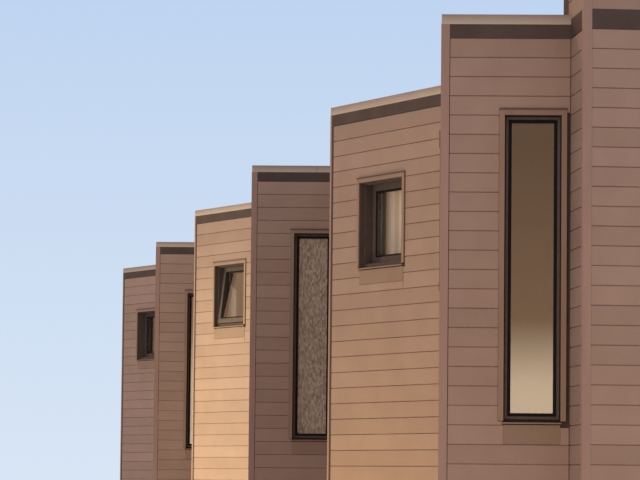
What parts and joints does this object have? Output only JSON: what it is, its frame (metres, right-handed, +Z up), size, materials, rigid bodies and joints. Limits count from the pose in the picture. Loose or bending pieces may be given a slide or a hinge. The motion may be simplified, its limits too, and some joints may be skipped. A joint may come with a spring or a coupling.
{
  "type": "terraced house row",
  "caption": "Row of flat-roofed terraced houses with a saw-tooth boarded street front, splayed small-window walls, tall narrow windows, metal copings and a raised end block",
  "frame": {"origin": "a point on the ground under the middle house, at the middle of its length", "axes": "+X runs along the street walls towards the near end with the raised block, -Y is the street side, +Z is up"},
  "size_m": [36.8185, 13.2852, 6.977],
  "materials": {
    "wall": "boarded wall, matt brown paint",
    "trim_boards": "matt brown paint, smooth",
    "cladding": "matt brown paint, smooth boards",
    "fascia": "dark brown, matt",
    "coping_metal": "light brown, satin",
    "window_frames": "near black, satin",
    "glazing": "clear double glazing",
    "door_paint": "dark brown paint, satin",
    "concrete": "cast concrete and plain blockwork",
    "roof_membrane": "grey roofing membrane",
    "floor": "pale timber",
    "curtain_cloth": "plain weave, off-white"
  },
  "bodies": {
    "root": {"ground_slab": "concrete", "far_party_wall": "concrete", "far_middle_party_wall": "concrete", "middle_near_party_wall": "concrete", "far_front_wall": "wall", "far_splay_wall": "wall", "far_street_wall": "wall", "far_return_wall": "wall", "far_rear_wall": "wall", "far_upper_floor": "floor", "far_roof_deck": "roof_membrane", "far_coping": "coping_metal", "far_window_facings": "trim_boards", "far_window_frames": "window_frames", "far_window_glass": "glazing", "middle_front_wall": "wall", "middle_splay_wall": "wall", "middle_street_wall": "wall", "middle_return_wall": "wall", "middle_rear_wall": "wall", "middle_upper_floor": "floor", "middle_roof_deck": "roof_membrane", "middle_coping": "coping_metal", "middle_window_facings": "trim_boards", "middle_window_frames": "window_frames", "middle_window_glass": "glazing", "near_front_wall": "wall", "near_splay_wall": "wall", "near_street_wall": "wall", "near_return_wall": "wall", "near_rear_wall": "wall", "near_upper_floor": "floor", "near_roof_deck": "roof_membrane", "near_coping": "coping_metal", "near_window_facings": "trim_boards", "near_window_frames": "window_frames", "near_window_glass": "glazing", "end_return_wall": "wall", "end_gable_wall": "wall", "end_rear_wall": "wall", "end_inner_wall": "wall", "end_cap": "coping_metal", "fascia_bands": "fascia", "corner_boards": "trim_boards", "doors": "door_paint", "near_curtain": "curtain_cloth"}
  },
  "joints": []
}
